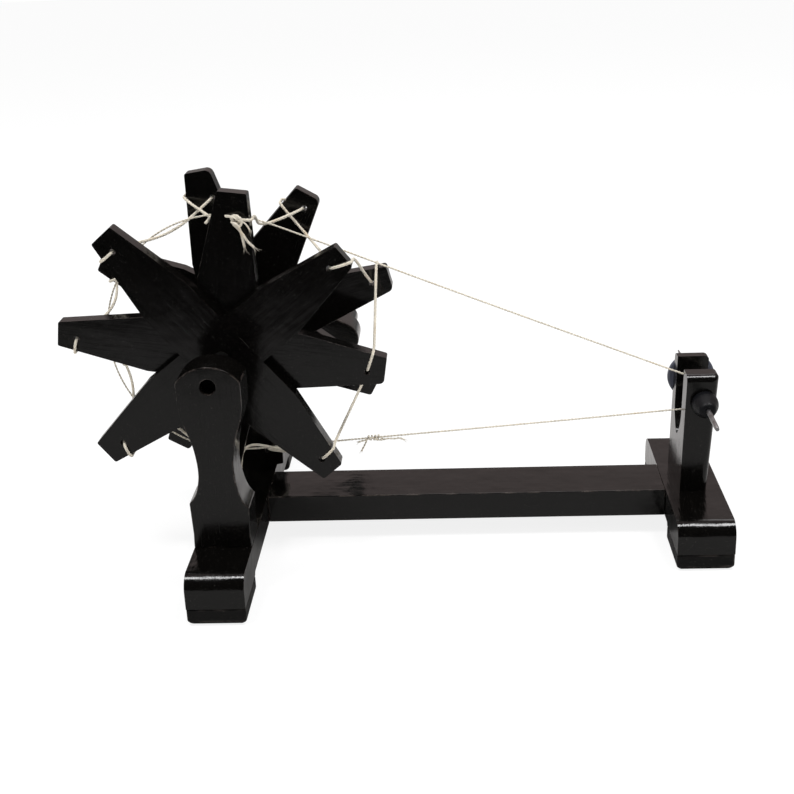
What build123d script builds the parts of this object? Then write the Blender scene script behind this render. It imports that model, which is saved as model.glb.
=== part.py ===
"""Small upright charkha: a hand-turned spoked wheel drives a spindle through a cord band.

The wheel stands between two shaped posts on a cross foot. A rail joins that foot to a
second one, whose forked post carries the spindle. Millimetres, +X towards the spindle,
+Y away from the viewer, +Z up. The origin is under the middle of the bounding box.
"""
from math import atan2, cos, dist, hypot, pi, radians, sin, sqrt
import os

from build123d import *

os.makedirs("parts", exist_ok=True)

# ---------------------------------------------------------------- driving dimensions
wheel_x = -80.9            # wheel axle, along X
rail_y = -7.9              # middle plane of the frame, along Y
wheel_z = 103.75           # wheel axle, above the floor
foot_spacing = 225.0       # from one foot's middle to the other's

member_w = 27.0            # width of the feet and of the posts' bases
foot_top = 24.0            # top of the feet and of the rail
foot_arch = 10.0           # underside of a foot between its pads
pad_h = 8.5                # height of a pad
pad_l = 31.0               # length of a pad
wheel_foot_half = 97.5     # half length of the foot under the wheel
spindle_foot_half = 54.4   # half length of the foot under the spindle
foot_nose = 7.5            # rounding of a foot's upper end edges
foot_step_r = 1.4          # cove where the arch meets the pad's seat

rail_half = 15.35          # half width of the rail
rail_under = 10.0          # underside of the rail
tenon_len = 9.0            # rail tenon, hidden in each foot
tenon_half = 10.0          # half width of the rail tenon
tenon_cheek = 3.5          # wood left above and below the rail tenon
peg_r = 6.0                # round tenon under each post
peg_len = 11.0             # depth of that tenon
seat_gap = 0.05            # clearance around hidden tenons and fixed shafts

post_face = 68.2           # outer face of a wheel post, from the middle plane
post_t = 18.6              # thickness of a wheel post
flare_half = 13.7          # half width of a post where its base flares out
flare_left = 46.8          # height of that corner towards -X
flare_right = 43.8         # height of that corner towards +X
base_waist_half = 13.2     # half width of the base between the foot and the flare
base_waist_z = 31.0
waist_post_half = 8.2      # half width of a post's waist
waist_post_z = 63.0
head_half = 14.6           # half width of a post's head
head_z = 98.6              # where the head reaches its full width
head_side_z = 105.6        # where the head's top arch starts
head_top_z = 113.0         # top of the arch
head_corner_r = 3.5

axle_r = 3.4               # wheel axle
running_gap = 0.05         # radial clearance of a turning shaft
axle_front = -62.0         # front end of the axle, sunk in the front post's bore

board_face = 30.7          # outer face of each star of boards, from the middle plane
board_t = 7.7              # thickness of a wheel board
tip_r = 77.0               # from the axle to a board's end
tip_half = 6.4             # half width of a board at its end
waist_r = 36.0             # where the taper ends
waist_half = 13.7          # half width of a board near the axle
tip_round = 1.0            # rounding of a board's end corners
cord_hole_r = 1.45         # hole for the lacing near each end of a board
cord_hole_in = 9.0         # from a board's end to that hole
lap_gap = 0.05             # clearance in the half-lap joints
front_angles = [129.7, 37.9, 171.6, 82.9]    # outer pair, then inner pair, degrees from +X
rear_angles = [60.4, 152.3, 15.2, 99.0]
hub_r = 15.0               # core between the two stars

crank_reach = 54.0         # from the axle to the handle
crank_angle = -29.0        # where the crank points at rest, degrees from +X
crank_w = 18.5             # width of the crank arm
crank_t = 18.0             # thickness of the crank arm
crank_gap = 1.1            # from the rear post to the crank arm
handle_r = 6.0             # handle
handle_len = 26.0          # handle behind the arm
spigot_r = 4.0             # handle's spigot in the arm
spigot_len = 12.0

fork_front = -17.5         # faces of the forked post, from the middle plane
fork_rear = 18.5
fork_slot = (-8.0, 10.5)   # slot between its two arms
fork_slot_end = 47.5       # bottom of the slot
fork_slot_taper = 15.0     # height over which the slot narrows to that bottom
fork_base = (-7.1, 6.3)    # sides of the post at the foot, from the foot's middle
fork_head = (-5.8, 9.7)    # sides of the post at its top
fork_top = 84.4            # top of the post
fork_corner_r = 2.0        # rounding of its outer top edge
fork_crown_r = 3.5         # rounding of its top towards the front and the rear
fork_peg_r = 4.0

spindle_off = 2.8          # spindle axis, from its foot's middle
spindle_z = 70.5           # spindle axis, above the floor
spindle_r = 1.15
spindle_front = -50.0      # ends of the spindle, from the middle plane
spindle_rear = 58.0
spindle_taper = 12.0       # length of the pointed rear end
spindle_blunt = 2.5        # length of the blunt front end's taper
spindle_blunt_r = 0.9
spindle_tip_r = 0.95       # bare working end behind the disc
spindle_point_r = 0.4
whorl_r = 7.2
whorl_groove_r = 6.0
whorl_w = 4.0
whorl_side = 0.2           # from the front arm to the whorl
bead_r = 6.8               # domed bead against the front arm
bead_len = 10.5
bead_rim = 1.5             # straight rim of the bead
disc_r = 11.7
disc_t = 3.5
side_gap = 0.3             # from the fork to the bead and to the disc

lace_r = 0.75              # lacing cord
lace_off = 1.0             # from a board's face to the lacing's middle
lace_dip_in = 3.8          # from the band's middle in to the lacing's dips
lace_edge_out = 1.0        # the lacing rounds a front board this far outside its hole
lace_wrap = (-2.8, -2.2, 1.8, 2.4)   # it rounds a rear board at these distances from the hole
lace_wrap_gap = 0.1        # extra room at a board's edges
lace_bend = 1.1            # bend around a board's edge
lace_dip_bend = 3.0
knot_turns = 2.5           # the lacing's knot
knot_wind_gap = 0.3        # from the knot to the end it is wound round
knot_turn_gap = 0.45       # between the knot's turns
knot_tails = (19.0, 15.0)
band_r = 0.5               # drive band
bind_turns = 3.5           # the band's knot
bind_tails = (8.0, 6.0)
band_gap = 0.3             # from the whorl's groove to the band
band_wheel_r = 60.4        # band's middle, around the wheel
band_wheel_up = 1.2        # the band lies higher than the axle by this much
band_wheel_y = -2.0        # band's plane at the wheel

# ---------------------------------------------------------------- derived values
spindle_foot_x = wheel_x + foot_spacing
spindle_x = spindle_foot_x + spindle_off
half_w = member_w / 2
front_outer = (-board_face, -board_face + board_t)
front_inner = (-board_face + board_t, -board_face + 2 * board_t)
rear_inner = (board_face - 2 * board_t, board_face - board_t)
rear_outer = (board_face - board_t, board_face)
taper = (waist_half - tip_half) / (tip_r - waist_r)
cord_hole_at = tip_r - cord_hole_in
lace_dip_r = band_wheel_r - lace_dip_in
crank_front = post_face + crank_gap
crank_rear = crank_front + crank_t
handle_x = wheel_x + crank_reach * cos(radians(crank_angle))
handle_z = wheel_z + crank_reach * sin(radians(crank_angle))
whorl_y0 = fork_slot[0] + whorl_side
band_whorl_y = whorl_y0 + whorl_w / 2
band_whorl_r = whorl_groove_r + band_gap + band_r
knot_wind_r = 2 * lace_r + knot_wind_gap
knot_pitch = 2 * lace_r + knot_turn_gap
bind_r = 2 * band_r + knot_wind_gap
bind_pitch = 2 * band_r + knot_turn_gap
bind_len = bind_pitch * bind_turns


def facing(y):
    """A plane square to Y, at y from the middle plane; extrusions run towards the front."""
    return Plane.XZ.offset(-(rail_y + y))


def vane_point(angle, out, side, y):
    """A point on the wheel: out along a vane, side anticlockwise of it, y from the middle."""
    a = radians(angle)
    return (
        wheel_x + out * cos(a) - side * sin(a),
        rail_y + y,
        wheel_z + out * sin(a) + side * cos(a),
    )


def vane_half(out):
    """Half width of a vane at a distance from the axle."""
    return tip_half + taper * (tip_r - out)


# ---------------------------------------------------------------- feet, pads and rail
with BuildPart() as wheel_foot:
    with BuildSketch(Plane.YZ.offset(wheel_x - half_w)):
        with Locations((rail_y, (pad_h + foot_top) / 2)):
            Rectangle(2 * wheel_foot_half, foot_top - pad_h)
        with Locations((rail_y, (pad_h + foot_arch) / 2)):
            Rectangle(2 * (wheel_foot_half - pad_l), foot_arch - pad_h, mode=Mode.SUBTRACT)
    extrude(amount=member_w)
    fillet(wheel_foot.edges().filter_by(Axis.X).group_by(Axis.Z)[-1], radius=foot_nose)
    fillet(wheel_foot.edges().filter_by(Axis.X).group_by(Axis.Z)[1], radius=foot_step_r)
    with BuildSketch(Plane.YZ.offset(wheel_x + half_w)):
        with Locations((rail_y, (rail_under + foot_top) / 2)):
            Rectangle(
                2 * (tenon_half + seat_gap),
                foot_top - rail_under - 2 * (tenon_cheek - seat_gap),
            )
    extrude(amount=-(tenon_len + seat_gap), mode=Mode.SUBTRACT)
    with BuildSketch(Plane.XY.offset(foot_top)):
        with Locations(
            (wheel_x, rail_y - post_face + post_t / 2),
            (wheel_x, rail_y + post_face - post_t / 2),
        ):
            Circle(peg_r + seat_gap)
    extrude(amount=-(peg_len + seat_gap), mode=Mode.SUBTRACT)
wheel_foot.part.label = "wheel_foot"
export_step(wheel_foot.part, "parts/wheel_foot.step")

with BuildPart() as spindle_foot:
    with BuildSketch(Plane.YZ.offset(spindle_foot_x - half_w)):
        with Locations((rail_y, (pad_h + foot_top) / 2)):
            Rectangle(2 * spindle_foot_half, foot_top - pad_h)
        with Locations((rail_y, (pad_h + foot_arch) / 2)):
            Rectangle(2 * (spindle_foot_half - pad_l), foot_arch - pad_h, mode=Mode.SUBTRACT)
    extrude(amount=member_w)
    fillet(spindle_foot.edges().filter_by(Axis.X).group_by(Axis.Z)[-1], radius=foot_nose)
    fillet(spindle_foot.edges().filter_by(Axis.X).group_by(Axis.Z)[1], radius=foot_step_r)
    with BuildSketch(Plane.YZ.offset(spindle_foot_x - half_w)):
        with Locations((rail_y, (rail_under + foot_top) / 2)):
            Rectangle(
                2 * (tenon_half + seat_gap),
                foot_top - rail_under - 2 * (tenon_cheek - seat_gap),
            )
    extrude(amount=tenon_len + seat_gap, mode=Mode.SUBTRACT)
    with BuildSketch(Plane.XY.offset(foot_top)):
        with Locations((spindle_foot_x, rail_y)):
            Circle(fork_peg_r + seat_gap)
    extrude(amount=-(peg_len + seat_gap), mode=Mode.SUBTRACT)
spindle_foot.part.label = "spindle_foot"
export_step(spindle_foot.part, "parts/spindle_foot.step")

pad_seats = [
    ("wheel_foot_pad_front", wheel_x, -wheel_foot_half + pad_l / 2),
    ("wheel_foot_pad_rear", wheel_x, wheel_foot_half - pad_l / 2),
    ("spindle_foot_pad_front", spindle_foot_x, -spindle_foot_half + pad_l / 2),
    ("spindle_foot_pad_rear", spindle_foot_x, spindle_foot_half - pad_l / 2),
]
for pad_name, pad_x, pad_y in pad_seats:
    with BuildPart() as foot_pad:
        with BuildSketch(Plane.XY):
            with Locations((pad_x, rail_y + pad_y)):
                Rectangle(member_w, pad_l)
        extrude(amount=pad_h)
        chamfer(foot_pad.faces().sort_by(Axis.Z)[0].edges(), length=0.6)
    foot_pad.part.label = pad_name
    export_step(foot_pad.part, "parts/" + pad_name + ".step")

rail_x0 = wheel_x + half_w
rail_x1 = spindle_foot_x - half_w
with BuildPart() as rail:
    with BuildSketch(Plane.XY.offset(rail_under)):
        with Locations(((rail_x0 + rail_x1) / 2, rail_y)):
            Rectangle(rail_x1 - rail_x0, 2 * rail_half)
    extrude(amount=foot_top - rail_under)
    with BuildSketch(Plane.XY.offset(rail_under + tenon_cheek)):
        with Locations(((rail_x0 + rail_x1) / 2, rail_y)):
            Rectangle(rail_x1 - rail_x0 + 2 * tenon_len, 2 * tenon_half)
    extrude(amount=foot_top - rail_under - 2 * tenon_cheek)
rail.part.label = "rail"
export_step(rail.part, "parts/rail.step")

# ---------------------------------------------------------------- wheel posts
for post_name, post_rear_face in (
    ("front_post", -post_face + post_t),
    ("rear_post", post_face),
):
    with BuildPart() as post:
        with BuildSketch(facing(post_rear_face)) as post_sketch:
            with BuildLine():
                for side, flare_z in ((1, flare_right), (-1, flare_left)):
                    Line((wheel_x, foot_top), (wheel_x + side * half_w, foot_top))
                    Polyline(
                        (wheel_x + side * half_w, foot_top),
                        (wheel_x + side * base_waist_half, base_waist_z),
                        (wheel_x + side * flare_half, flare_z),
                    )
                    cove = (flare_half - waist_post_half, waist_post_z - flare_z)
                    Spline(
                        (wheel_x + side * flare_half, flare_z),
                        (wheel_x + side * (flare_half - 0.58 * cove[0]), flare_z + 0.26 * cove[1]),
                        (wheel_x + side * (flare_half - 0.89 * cove[0]), flare_z + 0.62 * cove[1]),
                        (wheel_x + side * waist_post_half, waist_post_z),
                        tangents=[(-side, 1), (0, 1)],
                    )
                    swell = (head_half - waist_post_half, head_z - waist_post_z)
                    Spline(
                        (wheel_x + side * waist_post_half, waist_post_z),
                        (wheel_x + side * (waist_post_half + 0.07 * swell[0]), waist_post_z + 0.18 * swell[1]),
                        (wheel_x + side * (waist_post_half + 0.32 * swell[0]), waist_post_z + 0.42 * swell[1]),
                        (wheel_x + side * (waist_post_half + 0.8 * swell[0]), waist_post_z + 0.68 * swell[1]),
                        (wheel_x + side * head_half, head_z),
                        tangents=[(0, 1), (0, 1)],
                    )
                    Line((wheel_x + side * head_half, head_z), (wheel_x + side * head_half, head_side_z))
                ThreePointArc(
                    (wheel_x + head_half, head_side_z),
                    (wheel_x, head_top_z),
                    (wheel_x - head_half, head_side_z),
                )
            make_face()
            fillet(
                post_sketch.vertices().filter_by(lambda v: abs(v.Z - head_side_z) < 0.01),
                radius=head_corner_r,
            )
            with Locations((wheel_x, wheel_z)):
                Circle(axle_r + running_gap, mode=Mode.SUBTRACT)
        extrude(amount=post_t)
        with BuildSketch(Plane.XY.offset(foot_top)):
            with Locations((wheel_x, rail_y + post_rear_face - post_t / 2)):
                Circle(peg_r)
        extrude(amount=-peg_len)
    post.part.label = post_name
    export_step(post.part, "parts/" + post_name + ".step")

# ---------------------------------------------------------------- forked spindle post
with BuildPart() as spindle_fork:
    with BuildSketch(facing(fork_rear)) as fork_sketch:
        with BuildLine():
            Polyline(
                (spindle_foot_x + fork_base[0], foot_top),
                (spindle_foot_x + fork_head[0], fork_top),
                (spindle_foot_x + fork_head[1], fork_top),
                (spindle_foot_x + fork_base[1], foot_top),
                close=True,
            )
        make_face()
        fillet(fork_sketch.vertices().sort_by(Axis.X)[-1], radius=fork_corner_r)
        with Locations((spindle_x, spindle_z)):
            Circle(spindle_r + running_gap, mode=Mode.SUBTRACT)
    extrude(amount=fork_rear - fork_front)
    fillet(spindle_fork.edges().filter_by(Axis.X).group_by(Axis.Z)[-1], radius=fork_crown_r)
    with BuildSketch(Plane.YZ.offset(spindle_foot_x - member_w)):
        with BuildLine():
            slot_y = rail_y + (fork_slot[0] + fork_slot[1]) / 2
            slot_half = (fork_slot[1] - fork_slot[0]) / 2
            slot_full = fork_slot_end + fork_slot_taper
            for side in (1, -1):
                Spline(
                    (slot_y, fork_slot_end),
                    (slot_y + side * 0.38 * slot_half, fork_slot_end + 0.14 * fork_slot_taper),
                    (slot_y + side * 0.72 * slot_half, fork_slot_end + 0.39 * fork_slot_taper),
                    (slot_y + side * 0.93 * slot_half, fork_slot_end + 0.66 * fork_slot_taper),
                    (slot_y + side * slot_half, slot_full),
                    tangents=[(side, 0), (0, 1)],
                )
            Polyline(
                (slot_y + slot_half, slot_full),
                (slot_y + slot_half, fork_top + 5),
                (slot_y - slot_half, fork_top + 5),
                (slot_y - slot_half, slot_full),
            )
        make_face()
    extrude(amount=2 * member_w, mode=Mode.SUBTRACT)
    with BuildSketch(Plane.XY.offset(foot_top)):
        with Locations((spindle_foot_x, rail_y)):
            Circle(fork_peg_r)
    extrude(amount=-peg_len)
spindle_fork.part.label = "spindle_fork"
export_step(spindle_fork.part, "parts/spindle_fork.step")

# ---------------------------------------------------------------- wheel
axle_rear = crank_rear - 1.5
with BuildPart() as axle:
    with BuildSketch(facing(axle_rear)):
        with Locations((wheel_x, wheel_z)):
            Circle(axle_r)
    extrude(amount=axle_rear - axle_front)
axle.part.label = "axle"
export_step(axle.part, "parts/axle.step")

with BuildPart() as hub_core:
    with BuildSketch(facing(rear_inner[0])):
        with Locations((wheel_x, wheel_z)):
            Circle(hub_r)
            Circle(axle_r + seat_gap, mode=Mode.SUBTRACT)
    extrude(amount=rear_inner[0] - front_inner[1])
hub_core.part.label = "hub_core"
export_step(hub_core.part, "parts/hub_core.step")

# Each star is two pairs of boards. The boards of a pair cross in a half lap.
board_seats = [
    ("front_board_1", front_angles[0], front_angles[1], front_outer, True),
    ("front_board_2", front_angles[1], front_angles[0], front_outer, False),
    ("front_board_3", front_angles[2], front_angles[3], front_inner, True),
    ("front_board_4", front_angles[3], front_angles[2], front_inner, False),
    ("rear_board_1", rear_angles[0], rear_angles[1], rear_outer, True),
    ("rear_board_2", rear_angles[1], rear_angles[0], rear_outer, False),
    ("rear_board_3", rear_angles[2], rear_angles[3], rear_inner, True),
    ("rear_board_4", rear_angles[3], rear_angles[2], rear_inner, False),
]
board_outline = [
    (-tip_r, -tip_half),
    (-waist_r, -waist_half),
    (waist_r, -waist_half),
    (tip_r, -tip_half),
    (tip_r, tip_half),
    (waist_r, waist_half),
    (-waist_r, waist_half),
    (-tip_r, tip_half),
]
for board_name, angle, mate_angle, layer, lap_behind in board_seats:
    lap_face = layer[1] if lap_behind else (layer[0] + layer[1]) / 2 + lap_gap / 2
    lap_depth = board_t / 2 + lap_gap / 2
    with BuildPart() as board:
        with BuildSketch(facing(layer[1])) as outline_sketch:
            with Locations(Location((wheel_x, wheel_z), angle)):
                Polygon(board_outline, align=None)
            fillet(
                outline_sketch.vertices().filter_by(
                    lambda v: hypot(v.X - wheel_x, v.Z - wheel_z) > tip_r - 1
                ),
                radius=tip_round,
            )
            with Locations((wheel_x, wheel_z)):
                Circle(axle_r + seat_gap, mode=Mode.SUBTRACT)
                with PolarLocations(cord_hole_at, 2, start_angle=angle):
                    Circle(cord_hole_r, mode=Mode.SUBTRACT)
        extrude(amount=board_t)
        with BuildSketch(facing(lap_face)):
            with Locations(Location((wheel_x, wheel_z), mate_angle)):
                Rectangle(2 * waist_r, 2 * (waist_half + lap_gap))
        extrude(amount=lap_depth, mode=Mode.SUBTRACT)
    board.part.label = board_name
    export_step(board.part, "parts/" + board_name + ".step")

# ---------------------------------------------------------------- crank
with BuildPart() as crank_arm:
    with BuildSketch(facing(crank_rear)):
        with Locations(
            Location(((wheel_x + handle_x) / 2, (wheel_z + handle_z) / 2), crank_angle)
        ):
            SlotCenterToCenter(crank_reach, crank_w)
        with Locations((wheel_x, wheel_z)):
            Circle(axle_r + seat_gap, mode=Mode.SUBTRACT)
    extrude(amount=crank_t)
    with BuildSketch(facing(crank_rear)):
        with Locations((handle_x, handle_z)):
            Circle(spigot_r + seat_gap)
    extrude(amount=spigot_len + seat_gap, mode=Mode.SUBTRACT)
crank_arm.part.label = "crank_arm"
export_step(crank_arm.part, "parts/crank_arm.step")

with BuildPart() as crank_handle:
    with BuildSketch(facing(crank_rear + handle_len)):
        with Locations((handle_x, handle_z)):
            Circle(handle_r)
    extrude(amount=handle_len)
    fillet(crank_handle.edges().group_by(Axis.Y)[-1], radius=2.5)
    with BuildSketch(facing(crank_rear)):
        with Locations((handle_x, handle_z)):
            Circle(spigot_r)
    extrude(amount=spigot_len)
crank_handle.part.label = "crank_handle"
export_step(crank_handle.part, "parts/crank_handle.step")

# ---------------------------------------------------------------- spindle
spindle_axis = Axis((spindle_x, rail_y, spindle_z), (0, 1, 0))
spindle_plane = Plane(origin=(spindle_x, rail_y, spindle_z), x_dir=(1, 0, 0), z_dir=(0, 0, 1))
bore_r = spindle_r + seat_gap
disc_front = fork_rear + side_gap

with BuildPart() as spindle_rod:
    with BuildSketch(spindle_plane):
        with BuildLine():
            Polyline(
                (0, spindle_front),
                (spindle_blunt_r, spindle_front),
                (spindle_r, spindle_front + spindle_blunt),
                (spindle_r, disc_front + disc_t),
                (spindle_tip_r, disc_front + disc_t),
                (spindle_tip_r, spindle_rear - spindle_taper),
                (spindle_point_r, spindle_rear),
                (0, spindle_rear),
                close=True,
            )
        make_face()
    revolve(axis=spindle_axis)
spindle_rod.part.label = "spindle_rod"
export_step(spindle_rod.part, "parts/spindle_rod.step")

with BuildPart() as whorl:
    with BuildSketch(spindle_plane):
        with BuildLine():
            Polyline(
                (bore_r, whorl_y0),
                (whorl_r, whorl_y0),
                (whorl_r, whorl_y0 + 0.5),
                (whorl_groove_r, whorl_y0 + 1.0),
                (whorl_groove_r, whorl_y0 + whorl_w - 1.0),
                (whorl_r, whorl_y0 + whorl_w - 0.5),
                (whorl_r, whorl_y0 + whorl_w),
                (bore_r, whorl_y0 + whorl_w),
                close=True,
            )
        make_face()
    revolve(axis=spindle_axis)
whorl.part.label = "whorl"
export_step(whorl.part, "parts/whorl.step")

bead_rear = fork_front - side_gap
bead_front = bead_rear - bead_len
bead_nose_r = spindle_r + 1.2
with BuildPart() as front_bead:
    with BuildSketch(spindle_plane):
        with BuildLine():
            Polyline((bore_r, bead_front), (bore_r, bead_rear), (bead_r, bead_rear))
            Line((bead_r, bead_rear), (bead_r, bead_rear - bead_rim))
            Spline(
                (bead_r, bead_rear - bead_rim),
                (0.74 * bead_r, bead_rear - bead_rim - 0.66 * (bead_len - bead_rim)),
                (bead_nose_r, bead_front),
                tangents=[(0, -1), (-1, -0.15)],
            )
            Line((bead_nose_r, bead_front), (bore_r, bead_front))
        make_face()
    revolve(axis=spindle_axis)
front_bead.part.label = "front_bead"
export_step(front_bead.part, "parts/front_bead.step")

with BuildPart() as rear_disc:
    with BuildSketch(spindle_plane) as disc_sketch:
        with Locations(((bore_r + disc_r) / 2, disc_front + disc_t / 2)):
            Rectangle(disc_r - bore_r, disc_t)
        fillet(disc_sketch.vertices().group_by(Axis.X)[-1], radius=1.2)
    revolve(axis=spindle_axis)
rear_disc.part.label = "rear_disc"
export_step(rear_disc.part, "parts/rear_disc.step")

# ---------------------------------------------------------------- lacing
# One cord zigzags between the stars. On a front vane it comes round the edge to the
# front and goes back through the hole. On a rear vane it goes once round the vane.
vanes = []
for i, angle in enumerate(front_angles):
    layer = front_outer if i < 2 else front_inner
    vanes.append((angle % 360, "front", layer))
    vanes.append(((angle + 180) % 360, "front", layer))
for i, angle in enumerate(rear_angles):
    layer = rear_outer if i < 2 else rear_inner
    vanes.append((angle % 360, "rear", layer))
    vanes.append(((angle + 180) % 360, "rear", layer))
vanes.sort(key=lambda vane: vane[0])
start = [vane[0] for vane in vanes].index(front_angles[3])
ordered = [vanes[(start - i) % len(vanes)] for i in range(len(vanes))]

lace_points = []
lace_bends = []


def lace_side(out):
    """How far the lacing's middle passes beside a vane's middle line."""
    return vane_half(out) + lace_off + lace_wrap_gap


def lace_to(point, bend):
    lace_points.append(point)
    lace_bends.append(bend)


edge_at = cord_hole_at + lace_edge_out
wrap_at = [cord_hole_at + step for step in lace_wrap]
hole_rise = 2 * lace_r + 0.7         # straight run out of a hole
knot_angle, _, knot_layer = ordered[0]
lace_to(vane_point(knot_angle, cord_hole_at, 0, knot_layer[0] + 0.5), 0)
lace_to(vane_point(knot_angle, cord_hole_at, 0, knot_layer[1] + hole_rise), lace_bend)
for i in range(1, len(ordered) + 1):
    before = ordered[i - 1]
    angle, star, layer = ordered[i % len(ordered)]
    gap = (before[0] - angle) % 360
    lace_to(vane_point(angle + gap / 2, lace_dip_r, 0, band_wheel_y), lace_dip_bend)
    if star == "rear":
        near = layer[0] - lace_off
        far = layer[1] + lace_off
        for out, way, y in zip(wrap_at, (-1, -1, 1, 1), (near, far, far, near)):
            lace_to(vane_point(angle, out, way * lace_side(out), y), lace_bend)
    else:
        near = layer[1] + lace_off
        far = layer[0] - lace_off
        lace_to(vane_point(angle, edge_at, lace_side(edge_at), near), lace_bend)
        lace_to(vane_point(angle, edge_at, lace_side(edge_at), far), lace_bend)
        if i < len(ordered):
            lace_to(vane_point(angle, cord_hole_at, 0, far), lace_bend)
            lace_to(vane_point(angle, cord_hole_at, 0, layer[1] + hole_rise), lace_bend)
knot_lift = knot_wind_r + lace_r + 0.2
knot_y = knot_layer[0] - knot_lift
knot_half = knot_pitch * knot_turns / 2
lace_to(vane_point(knot_angle, cord_hole_at + 0.4, 2 * knot_half, knot_y), lace_bend)
lace_to(vane_point(knot_angle, cord_hole_at + 0.2, -knot_half, knot_y), 0)

with BuildPart() as lacing_cord:
    with BuildLine() as lace_line:
        FilletPolyline(*lace_points, radius=lace_bends[1:-1])
    with BuildSketch(Plane(lace_line.wire() @ 0, z_dir=lace_line.wire() % 0)):
        Circle(lace_r)
    sweep()
lacing_cord.part.label = "lacing_cord"
export_step(lacing_cord.part, "parts/lacing_cord.step")
lace_ideal = pi * lace_r**2 * lace_line.wire().length
print("lacing length", round(lace_line.wire().length, 1))
print("lacing bends", sorted(set(lace_bends[1:-1])), "section radius", lace_r)
lace_samples = []
lace_run = 0.0
for edge in lace_line.wire().edges():
    steps = max(2, round(edge.length))
    for k in range(steps):
        lace_samples.append((lace_run + edge.length * k / steps, (edge @ (k / steps)).to_tuple()))
    lace_run += edge.length
lace_gap = min(
    dist(a, b)
    for i, (run_a, a) in enumerate(lace_samples)
    for run_b, b in lace_samples[i + 1:]
    if run_b - run_a > 8.0
)
print("lacing least gap to itself", round(lace_gap - 2 * lace_r, 2))
print("lacing volume / section x length", round(lacing_cord.part.volume / lace_ideal, 4))

# ---------------------------------------------------------------- lacing knot
knot_a = radians(knot_angle)
knot_plane = Plane(
    origin=vane_point(knot_angle, cord_hole_at + 0.3, -knot_half, knot_y),
    x_dir=(0, -1, 0),
    z_dir=(-sin(knot_a), 0, cos(knot_a)),
)
with BuildPart() as lacing_knot:
    with BuildLine() as knot_line:
        knot_coil = knot_plane.location * Helix(
            pitch=knot_pitch,
            height=knot_pitch * knot_turns,
            radius=knot_wind_r,
            mode=Mode.PRIVATE,
        )
        Line(knot_coil @ 0 - (knot_coil % 0) * knot_tails[0], knot_coil @ 0)
        add(knot_coil)
        Line(knot_coil @ 1, knot_coil @ 1 + (knot_coil % 1) * knot_tails[1])
    with BuildSketch(Plane(knot_line.wire() @ 0, z_dir=knot_line.wire() % 0)):
        Circle(lace_r)
    sweep()
lacing_knot.part.label = "lacing_knot"
export_step(lacing_knot.part, "parts/lacing_knot.step")
knot_ideal = pi * lace_r**2 * knot_line.wire().length
print("lacing knot turns", knot_turns, "gap between turns", round(knot_pitch - 2 * lace_r, 2))
print("lacing knot volume / section x length", round(lacing_knot.part.volume / knot_ideal, 4))

# ---------------------------------------------------------------- drive band
band_tilt = atan2(band_whorl_y - band_wheel_y, spindle_x - wheel_x)
band_span = hypot(band_whorl_y - band_wheel_y, spindle_x - wheel_x)
band_plane = Plane(
    origin=(wheel_x, rail_y + band_wheel_y, wheel_z),
    x_dir=(cos(band_tilt), sin(band_tilt), 0),
    z_dir=(sin(band_tilt), -cos(band_tilt), 0),
)
drop = spindle_z - wheel_z - band_wheel_up
centre_gap = hypot(band_span, drop)
line_angle = atan2(drop, band_span)
wrap = atan2(sqrt(centre_gap**2 - (band_wheel_r - band_whorl_r) ** 2), band_wheel_r - band_whorl_r)
top_dir = (cos(line_angle + wrap), sin(line_angle + wrap))
low_dir = (cos(line_angle - wrap), sin(line_angle - wrap))
wheel_c = (0.0, band_wheel_up)
whorl_c = (band_span, spindle_z - wheel_z)


def off(centre, direction, radius):
    return (centre[0] + direction[0] * radius, centre[1] + direction[1] * radius)


band_low_whorl = off(whorl_c, low_dir, band_whorl_r)
band_low_wheel = off(wheel_c, low_dir, band_wheel_r)
band_top_wheel = off(wheel_c, top_dir, band_wheel_r)
band_top_whorl = off(whorl_c, top_dir, band_whorl_r)
knot_share = 0.305         # where the knot sits along the lower run, from the wheel
knot_gap = 0.3             # between the band's two ends, inside the knot
run = (band_low_whorl[0] - band_low_wheel[0], band_low_whorl[1] - band_low_wheel[1])
run_len = hypot(*run)
run_dir = (run[0] / run_len, run[1] / run_len)
band_knot_at = off(band_low_wheel, run_dir, knot_share * run_len)
band_end_a = off(band_knot_at, run_dir, knot_gap / 2)
band_end_b = off(band_knot_at, run_dir, -knot_gap / 2)
with BuildPart() as drive_band:
    with BuildLine(band_plane) as band_line:
        Line(band_end_a, band_low_whorl)
        ThreePointArc(
            band_low_whorl,
            off(whorl_c, (cos(line_angle), sin(line_angle)), band_whorl_r),
            band_top_whorl,
        )
        Line(band_top_whorl, band_top_wheel)
        ThreePointArc(
            band_top_wheel,
            off(wheel_c, (-cos(line_angle), -sin(line_angle)), band_wheel_r),
            band_low_wheel,
        )
        Line(band_low_wheel, band_end_b)
    with BuildSketch(Plane(band_line.wire() @ 0, z_dir=band_line.wire() % 0)):
        Circle(band_r)
    sweep()
drive_band.part.label = "drive_band"
export_step(drive_band.part, "parts/drive_band.step")
band_ideal = pi * band_r**2 * band_line.wire().length
print("band length", round(band_line.wire().length, 1))
print("band radii", band_wheel_r, round(band_whorl_r, 2), "section radius", band_r)
print("band volume / section x length", round(drive_band.part.volume / band_ideal, 4))
print("spindle turns per wheel turn", round(band_wheel_r / band_whorl_r, 3))

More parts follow.
